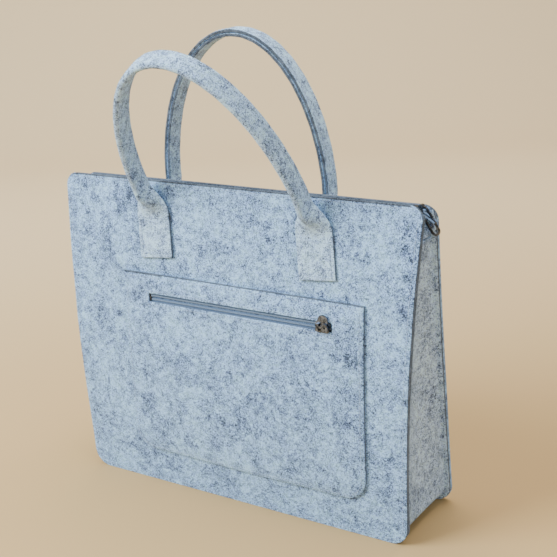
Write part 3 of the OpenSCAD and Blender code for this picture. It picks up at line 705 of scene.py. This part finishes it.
def pocket_patch():
    corner = PATCH_Z + np.array([0, 0.2, 0.5, 0.9, 1.5, 2.4, 3.6, 5.2, 7.5, 10.5, 14, 18, 22])
    slot_low, slot_high = SLOT_Z - SLOT_H / 2, SLOT_Z + SLOT_H / 2
    zs = np.concatenate([
        corner, np.linspace(corner[-1], slot_low - 4, 36)[1:], slot_low - INSETS[::-1],
        slot_high + INSETS, [slot_high + 6, slot_high + 10],
        PATCH_Z + PATCH_H - INSETS[::-1],
    ])
    zs = np.unique(np.round(zs, 3))
    left, right = PATCH_X - SLOT_W / 2, PATCH_X + SLOT_W / 2
    inner = np.concatenate([
        left - INSETS[::-1], left + INSETS,
        np.linspace(left + SLOT_CLEAR, right - SLOT_CLEAR, 56),
        right - INSETS[::-1], right + INSETS,
    ])
    inner = np.unique(np.round(inner, 3))
    X = []
    for z in zs:
        half = patch_edge(z)
        squeeze = min(1.0, (half - SLOT_CLEAR) / (SLOT_W / 2 + SLOT_CLEAR))
        core = PATCH_X + (inner - PATCH_X) * squeeze
        margin_l = np.linspace(PATCH_X - half + INSETS[-1], core[0], 7)[1:-1]
        margin_r = 2 * PATCH_X - margin_l[::-1]
        X.append(np.concatenate([PATCH_X - half + INSETS, margin_l, core, margin_r,
                                 PATCH_X + half - INSETS[::-1]]))
    X = np.array(X)
    Z = np.broadcast_to(zs[:, None], X.shape)
    mid_x = (X[:-1, :-1] + X[1:, 1:]) / 2
    mid_z = (Z[:-1, :-1] + Z[1:, 1:]) / 2
    keep = ~((mid_x > left) & (mid_x < right) & (mid_z > slot_low) & (mid_z < slot_high))
    edge = distance(X, Z, patch_outline())
    rim = np.minimum(edge, distance(X, Z, slot_outline()))
    behind = patch_back(edge, Z)
    mesh = Mesh()
    slab(mesh, lambda x, z, n: on_face(FRONT, x, z, n), X, Z,
         behind + AIR, behind + FELT, rim, keep)
    # painted shade along the patch's top edge
    mesh.shade_band(lambda x, z: z > PATCH_Z + PATCH_H - PATCH_TOP_SHADE)
    obj = mesh.build("pocket_felt", PANEL_FELT, edge_shade=EDGE_SHADE_FELT)
    finish_piece(obj, SHELL, "felt_panel", "pocket_patch")


pocket_patch()


# ---- zips
TAPE_T = 0.5  # the tapes' thickness
COIL_PITCH, WIRE_R, CORD_R = 1.35, 0.3, 0.34


def tape_piece(name, node, place, u, v):
    """A woven tape over a grid of u and v, placed by place(u, v, n)."""
    U, V = np.meshgrid(u, v)
    mesh = Mesh()
    slab(mesh, place, U, V, -TAPE_T, 0.0, NO_RIM)
    finish_piece(mesh.build(name, TAPE), SHELL, "zip_tape", node)


def coil_piece(name, node, place, start, end, slit, side):
    """One half of a zip's coil: a row of small loops, and the cord that runs through them."""
    mesh = Mesh()
    s = slit + COIL_W
    # one turn of the wire, as (distance from the slit's middle, height)
    loop = [(s - 0.3, 0.28), (s - 0.05, 0.8), (s - 0.7, 1.25), (slit + 0.75, 1.25),
            (slit + 0.28, 0.85), (slit + 0.6, 0.35)]
    offset = 0.0 if side > 0 else COIL_PITCH / 2  # the two halves interlock
    for x in np.arange(start + 0.5 + offset, end - 0.4, COIL_PITCH):
        path = [place(x + 0.12 * i - 0.3, side * a, n) for i, (a, n) in enumerate(loop)]
        tube(mesh, path, WIRE_R)
    cord = [place(x, side * (s - 1.1), 0.72) for x in np.linspace(start, end, 40)]
    tube(mesh, cord, CORD_R)
    finish_piece(mesh.build(name, COIL), SHELL, "zip_coil", node)


TAPE_OUT = POCKET_GAP - 0.1  # the pocket tapes' distance from the panel
POCKET_SLIT, POCKET_TAPE_W = 0.4, 12.5  # half the slit between its tapes, and their reach
TAPE_PAST, COIL_SHORT = 6, 1.5  # past the slot's ends, and short of them


def pocket_place(x, s, n):
    """A place at the pocket zip: s up from its middle line, n out from its tapes."""
    return on_face(FRONT, x, np.asarray(s) + SLOT_Z, np.asarray(n) + TAPE_OUT)


slot_ends = np.array([PATCH_X - SLOT_W / 2, PATCH_X + SLOT_W / 2])
for label, side in (("upper", 1), ("lower", -1)):
    tape_piece(f"pocket_{label}_tape", f"pocket_zip_{label}_tape", pocket_place,
               np.linspace(slot_ends[0] - TAPE_PAST, slot_ends[1] + TAPE_PAST, 60),
               np.sort(side * np.linspace(POCKET_SLIT, POCKET_TAPE_W, 7)))
    coil_piece(f"pocket_{label}_coil", f"pocket_zip_{label}_coil", pocket_place,
               slot_ends[0] + COIL_SHORT, slot_ends[1] - COIL_SHORT, POCKET_SLIT, side)

TAIL_START, TAIL_END, TAIL_DROP = 181.0, 193.5, 7.0  # the mouth tapes' tails, in x and down
TAIL_W = 4.0  # a tail's outer edge, from the zip's middle line
TAPE_HALF = 0.22  # half a mouth tape's thickness, clear of the panel it is sewn to
MOUTH_COIL_END = 179.5


def mouth_place(x, s, n):
    """A place at the mouth zip: s back from its middle line, n up from its tapes."""
    x, s, n = np.broadcast_arrays(*(np.asarray(v, float) for v in (x, s, n)))
    return np.stack([x, MOUTH_Y + s, ZIP_Z + n], -1)


def mouth_tape(side, label):
    """Flat from the slit to the panel, then down its inner face; past the corner a tail."""
    reach = abs(face_y(side, ZIP_Z, -FELT) - MOUTH_Y)
    section = [(side * s, 0.0) for s in np.linspace(MOUTH_SLIT, reach - 1.6, 7)]
    section += [(side * (reach - 0.75), -0.35), (side * (reach - 0.45), -1.4)]
    section += [(face_y(side, z, -FELT - TAPE_T / 2) - MOUTH_Y, z - ZIP_Z)
                for z in (290, 287.5, 285)]
    section = np.array(section)
    step = unit(np.gradient(section, axis=0))
    normal = np.stack([-step[:, 1], step[:, 0]], -1) * TAPE_HALF
    xs = np.linspace(-TAIL_START, TAIL_START, 100)[:, None]
    top, bottom = (mouth_place(xs, sheet[:, 0], sheet[:, 1] - TAPE_T / 2)
                   for sheet in (section + normal, section - normal))
    mesh = Mesh()
    mesh.add_sheet(top, bottom)
    for end in (-1, 1):
        t = np.linspace(0, 1, 8)
        x = end * (TAIL_START + (TAIL_END - TAIL_START) * t)
        wide = np.array([MOUTH_SLIT, (MOUTH_SLIT + TAIL_W) / 2, TAIL_W])
        X, S = np.meshgrid(x, side * wide)
        fall = np.broadcast_to(-TAIL_DROP * t**1.2, X.shape)
        slab(mesh, lambda a, b, n, fall=fall: mouth_place(a, b, fall + n), X, S,
             -TAPE_T, 0.0, NO_RIM)
    finish_piece(mesh.build(f"mouth_{label}_tape", TAPE), SHELL, "zip_tape",
                 f"top_zip_{label}_tape")


for label, side in (("front", FRONT), ("back", BACK)):
    mouth_tape(side, label)
    coil_piece(f"mouth_{label}_coil", f"top_zip_{label}_coil", mouth_place,
               -MOUTH_COIL_END, MOUTH_COIL_END, MOUTH_SLIT, side)

# the zips' metal parts are the CAD model's own
for node_name, finish in (
    ("pocket_zip_stops", DARK_METAL), ("pocket_zip_slider", METAL), ("pocket_zip_pull", METAL),
    ("top_zip_stops", DARK_METAL), ("top_zip_slider", DARK_METAL), ("top_zip_pull", DARK_METAL),
):
    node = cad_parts[node_name]
    if node.data.materials:
        for slot in node.material_slots:
            slot.material = finish
    else:
        node.data.materials.append(finish)


# ---- handles
FOLD_BEND = 3.05  # how much of each half of the strap bends at its fold
FOLD_TURN = 89.5  # degrees that each half turns when folded
STRAP_RIM = 0.85  # how much of its thickness the strap keeps at its edges
SECTION_PICK = [0, 3, 5, 7, 9, 14, 20, 26, 32, 36, 38, 39]  # denser at the fold and the edge


def strap_section(fold):
    """The strap's cross-section as (sideways, outward) centre points, their normals and half
    thicknesses, from flat (0) to folded in half (1), measured from its two edges."""
    a = np.linspace(0, TAB_HALF, SECTION_PICK[-1] + 1)
    closed = math.radians(90 - FOLD_TURN * fold)
    turn = np.clip(a / FOLD_BEND, 0, 1)
    angle = math.pi / 2 + (closed - math.pi / 2) * turn
    gain = np.diff(a, prepend=0)
    side_run = np.cumsum(np.sin(angle) * gain)
    fall = np.cumsum(np.cos(angle) * gain)
    w, v = side_run[SECTION_PICK], (fall[-1] - fall)[SECTION_PICK]
    angle = angle[SECTION_PICK]
    half = np.full(len(SECTION_PICK), HALF_FELT)
    half[-1] *= STRAP_RIM
    normal = np.stack([np.cos(angle), np.sin(angle)], -1)
    right = np.stack([w, v], -1)
    flip = np.array([-1, 1])
    line = np.concatenate([(right * flip)[:0:-1], right])
    normals = np.concatenate([(normal * flip)[:0:-1], normal])
    halves = np.concatenate([half[:0:-1], half])
    return line, normals, halves


ARCH_START = 5  # degrees above the hinge where the arch begins
TAB_FLAT = 266  # up to this height the strap lies flat on the panel
FOLD_EARLY = 1.12  # the strap is folded a little before the arch begins
RIDGE = 0.12  # the folded strap's slight unevenness


class Handle:
    """One strap: a sewn end, its fold, the arch, and the same again on the other leg. rise is
    the arch's height, lean its angle and slant the sewn ends' angle, in degrees."""

    def __init__(self, side, mid_x, rise, lean, slant):
        self.side, self.mid_x, self.rise = side, mid_x, rise
        self.tilt = math.tan(math.radians(slant))
        lean = math.radians(lean)
        self.up = np.array([0, -math.sin(lean), math.cos(lean)])
        self.out = np.array([0, side * math.cos(lean), side * math.sin(lean)])
        self.hinge = np.array([mid_x, face_y(side, HINGE_Z, HINGE_OUT), HINGE_Z])
        self.stations = self.leg(1) + self.arch() + self.leg(-1)[::-1]

    def leg_x(self, end, z):
        """The middle of a leg's sewn end at a height."""
        return self.mid_x + end * LEG - (HINGE_Z - z) * self.tilt

    def frame_at(self, t):
        """Edge-line point and axes on the arch at t degrees."""
        c, s = math.cos(math.radians(t)), math.sin(math.radians(t))
        ex = np.array([1.0, 0, 0])
        n = np.array([c / LEG, s / self.rise])
        n /= np.linalg.norm(n)
        centre = self.hinge + ex * LEG * c + self.up * self.rise * s
        across = ex * n[0] + self.up * n[1]
        edge = centre - self.out * (STRAP_W / 2)
        return edge, across, self.out

    def arch(self):
        return [(*self.frame_at(t), 1.0)
                for t in np.linspace(ARCH_START, 180 - ARCH_START, 67)]

    def leg(self, end):
        """Stations from the tab's bottom up to where the arch begins."""
        stations = []
        for z in np.concatenate([TAB_Z + np.array([0, 0.5, 1.4, 3]),
                                 np.linspace(TAB_Z + 6, TAB_FLAT, 9)]):
            x = self.leg_x(end, z)
            point = on_face(self.side, x, z, HALF_FELT + AIR)
            above = on_face(self.side, x + self.tilt, z + 1, HALF_FELT + AIR)
            travel = unit(above - point)
            outer = on_face(self.side, x, z, 9.0) - point
            outer = unit(outer - travel * (outer @ travel))
            across = end * np.cross(travel, outer)
            across = across if across[0] * end > 0 else -across
            stations.append((point, across, outer, 0.0))
        edge, across1, out1 = self.frame_at(ARCH_START if end > 0 else 180 - ARCH_START)
        start, across0, out0, _ = stations[-1]
        length = np.linalg.norm(edge - start)
        # a smooth curve from the sewn end's direction to the arch's
        for t in np.linspace(0, 1, 15)[1:-1]:
            h0, h1 = 2 * t**3 - 3 * t**2 + 1, -2 * t**3 + 3 * t**2
            m0, m1 = t**3 - 2 * t**2 + t, t**3 - t**2
            p = h0 * start + h1 * edge + length * (m0 * travel + m1 * self.up)
            ease = t * t * (3 - 2 * t)
            out = unit(out0 * (1 - ease) + out1 * ease)
            across = unit(across0 * (1 - ease) + across1 * ease)
            across = unit(across - out * (across @ out))
            stations.append((p, across, out, min(1.0, ease * FOLD_EARLY)))
        return stations

    def surface(self, k, index, proud):
        """A point on the strap's outside at a station, for its stitches."""
        edge, across, out, fold = self.stations[k]
        line, normals, halves = strap_section(fold)
        (w, v), (nw, nv) = line[index], normals[index]
        reach = halves[index] + proud
        return edge + across * (w + nw * reach) + out * (v + nv * reach)

    def build(self, name, body, nodes):
        mesh = Mesh()
        rings = []
        for k, (edge, across, out, fold) in enumerate(self.stations):
            line, normals, halves = strap_section(fold)
            end = min(k, len(self.stations) - 1 - k)
            thin = STRAP_RIM if end == 0 else 1.0
            ridge = RIDGE * math.sin(k * 1.7) * fold
            outer = line + normals * (halves * thin)[:, None]
            inner = (line - normals * (halves * thin)[:, None])[::-1]
            ring = np.concatenate([outer, inner]) + [ridge, 0]
            rings.append(edge + ring[:, :1] * across + ring[:, 1:] * out)
        n = len(rings[0])
        faces = []
        for k in range(len(rings) - 1):
            for j in range(n):
                m = (j + 1) % n
                # painted shade: the strap's two cut edges and its two ends get the dark edge
                # material
                if j in (n // 2 - 1, n - 1):
                    mesh.shade_faces.append(len(faces))
                faces.append([k * n + j, k * n + m, (k + 1) * n + m, (k + 1) * n + j])
        for base in (0, (len(rings) - 1) * n):
            for j in range(n // 2 - 1):
                mesh.shade_faces.append(len(faces))
                faces.append([base + j, base + j + 1, base + n - 2 - j, base + n - 1 - j])
        mesh.add(np.array(rings), faces)
        obj = mesh.build(name, STRAP_FELT, edge_shade=EDGE_SHADE_FELT)
        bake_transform(obj)
        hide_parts(*nodes)
        crease = np.array([station[0] for station in self.stations])


STITCH, STITCH_GAP, THREAD_R = 2.7, 1.1, 0.3
STITCH_DIP = np.array([-0.35, 0.1, 0.2, 0.1, -0.35])  # heights along one stitch
PANEL_SEAM, MOUTH_SEAM, TAB_SEAM = 4.0, 3, 3.5  # how far in from the felt's edge they run
PATCH_SEAM, SLOT_SEAM = 3.5, 2.5
TAB_SEAM_TOP = 264.0  # the height at which the seam round a sewn end is closed


def stitch_row(mesh, points, normals):
    """Stitches along a path of points: short threads that dip in at both ends."""
    points, normals = np.asarray(points, float), np.asarray(normals, float)
    step = np.linalg.norm(np.diff(points, axis=0), axis=1)
    run = np.concatenate([[0], np.cumsum(step)])
    for start in np.arange(0.5, run[-1] - STITCH, STITCH + STITCH_GAP):
        where = start + np.linspace(0, STITCH, len(STITCH_DIP))
        p = np.stack([np.interp(where, run, points[:, i]) for i in range(3)], -1)
        n = unit(np.stack([np.interp(where, run, normals[:, i]) for i in range(3)], -1))
        tube(mesh, p + n * STITCH_DIP[:, None], THREAD_R)


HANDLES = {
    "front": Handle(FRONT, 3.0, 148.0, 28.0, -6.0),
    "back": Handle(BACK, -5.0, 141.0, 2.5, 0.0),
}
for label, handle in HANDLES.items():
    handle.build(f"{label}_strap", f"{label}_handle",
                 [f"{label}_handle_strap", f"{label}_left_tab", f"{label}_right_tab"])
    mesh = Mesh()
    folded = [k for k, (_, _, _, fold) in enumerate(handle.stations) if fold >= 1.0][2:-2]
    last = len(strap_section(1.0)[0]) - 1
    for index in (3, last - 3):  # the section's points near the strap's two edges
        p = [handle.surface(k, index, 0.0) for k in folded]
        q = [handle.surface(k, index, 1.0) for k in folded]
        stitch_row(mesh, p, np.subtract(q, p))
    finish_piece(mesh.build(f"{label}_strap_stitches", THREAD), f"{label}_handle", "thread",
                 f"{label}_handle_thread")


# ---- stitches
def face_stitches(mesh, side, outline, out):
    """Stitches along a line of (x, z) places on a face, `out` from the panel."""
    dense = []
    for (ax, az), (bx, bz) in zip(outline, outline[1:]):
        count = max(int(math.hypot(bx - ax, bz - az) / 3), 1)
        dense += [(ax + (bx - ax) * i / count, az + (bz - az) * i / count)
                  for i in range(count)]
    dense.append(outline[-1])
    dense = np.array(dense)
    lift = out(dense[:, 0], dense[:, 1]) if callable(out) else out
    p = on_face(side, dense[:, 0], dense[:, 1], lift)
    q = on_face(side, dense[:, 0], dense[:, 1], lift + 1.0)
    stitch_row(mesh, p, q - p)


def stitched(name, node, side, lines, out):
    mesh = Mesh()
    for line in lines:
        face_stitches(mesh, side, line, out)
    finish_piece(mesh.build(name, THREAD), SHELL, "thread", node)


def seam_line(height):
    """The line where a panel is sewn to the gusset, from its right shoulder to its left."""
    points = [p for p in panel_outline(height, PANEL_SEAM) if p[1] <= height - TOP_R]
    middle = len(points) // 2
    return points[:middle][::-1] + points[middle:][::-1]


def tab_box(handle, end):
    """The line round a sewn end."""
    low, w = TAB_Z + TAB_SEAM, TAB_HALF - TAB_SEAM
    box = [(-w, TAB_SEAM_TOP), (-w, low), (w, low), (w, TAB_SEAM_TOP), (-w, TAB_SEAM_TOP)]
    return [(handle.leg_x(end, z) + x, z) for x, z in box]


for label, side, height in (("front", FRONT, BAG_H), ("back", BACK, BACK_H)):
    stitched(f"{label}_seam_stitches", f"{label}_seam_thread", side, [seam_line(height)], 0.0)
    run, z = half_w(height) - TOP_R, height - MOUTH_SEAM
    stitched(f"{label}_mouth_stitches", f"{label}_zip_thread", side, [[(-run, z), (run, z)]],
             0.0)
    stitched(f"{label}_tab_stitches", f"{label}_tab_threads", side,
             [tab_box(HANDLES[label], end) for end in (-1, 1)], FELT + AIR)


def patch_front(x, z):
    return patch_back(distance(x, z, patch_outline()), z) + FELT


for name, line in (("edge", patch_outline(PATCH_SEAM)), ("zip", slot_outline(SLOT_SEAM))):
    stitched(f"pocket_{name}_stitches", f"pocket_{name}_thread", FRONT, [line + line[:1]],
             patch_front)


# ---- stage, light and camera
AZIMUTH, ELEVATION, ROLL = (math.radians(a) for a in (33.5, 17.5, -2.9))
TARGET, DISTANCE = Vector((0.0570, -0.0473, 0.2290)), 0.9729
LENS_MM, SENSOR_MM = 73.03, 36.0
LIT = (0, 0, 0.2)  # where the lights point
# painted light and shade: the floor is darker near the bag and paler towards the back
FLOOR_NEAR, FLOOR_FAR = (0.52, 0.335, 0.142), (0.87, 0.67, 0.395)


def studio():
    """A floor that curves up behind the bag, square to the camera, with painted light: paler
    further back.
    """
    look = Look("floor_card")
    depth = look.depth(look.coords(), -0.1, 1.5)
    card = look.finish(look.ramp(depth, (0.0, FLOOR_NEAR), (1.0, FLOOR_FAR)), 0.9)
    reach, rise, flat, bend = 4.0, 3.0, 1.6, 0.8
    profile = [(-reach, 0.0), (flat, 0.0)]
    profile += [(flat + bend * math.sin(t), bend - bend * math.cos(t))
                for t in np.linspace(0, math.pi / 2, 16)[1:]]
    profile.append((flat + bend, rise))
    verts = [(x, y, z) for y, z in profile for x in (-reach, reach)]
    faces = [[2 * i, 2 * i + 1, 2 * i + 3, 2 * i + 2] for i in range(len(profile) - 1)]
    data = bpy.data.meshes.new("floor")
    data.from_pydata(verts, [], faces)
    data.polygons.foreach_set("use_smooth", [True] * len(data.polygons))
    data.materials.append(card)
    floor = bpy.data.objects.new("floor", data)
    floor.rotation_euler = (0, 0, AZIMUTH)
    bpy.context.collection.objects.link(floor)


def area_light(name, place, size, power, colour):
    light = bpy.data.lights.new(name, "AREA")
    light.size, light.energy, light.color = size, power, colour
    obj = bpy.data.objects.new(name, light)
    obj.location = place
    direction = Vector(LIT) - Vector(place)
    obj.rotation_euler = direction.to_track_quat("-Z", "Y").to_euler()
    bpy.context.collection.objects.link(obj)


def camera():
    back = Vector((math.sin(AZIMUTH) * math.cos(ELEVATION),
                   -math.cos(AZIMUTH) * math.cos(ELEVATION), math.sin(ELEVATION)))
    right = Vector((math.cos(AZIMUTH), math.sin(AZIMUTH), 0))
    up = back.cross(right)
    x = right * math.cos(ROLL) + up * math.sin(ROLL)
    y = up * math.cos(ROLL) - right * math.sin(ROLL)
    data = bpy.data.cameras.new("camera")
    data.lens, data.sensor_width = LENS_MM, SENSOR_MM
    obj = bpy.data.objects.new("camera", data)
    obj.matrix_world = Matrix.Translation(TARGET + back * DISTANCE) @ Matrix(
        (x, y, back)).transposed().to_4x4()
    bpy.context.collection.objects.link(obj)
    bpy.context.scene.camera = obj


studio()
camera()
area_light("key", (-1.1, -1.5, 1.5), 1.2, 98, (0.82, 0.92, 1.0))
area_light("fill", (1.7, -0.9, 1.0), 1.6, 16, (0.74, 0.87, 1.0))
area_light("top", (0.0, 0.3, 2.2), 1.8, 52, (1.0, 0.97, 0.93))
world = bpy.data.worlds.new("world")
world.use_nodes = True
sky = world.node_tree.nodes["Background"].inputs
sky["Color"].default_value = (0.86, 0.87, 0.90, 1)
sky["Strength"].default_value = 0.45
bpy.context.scene.world = world
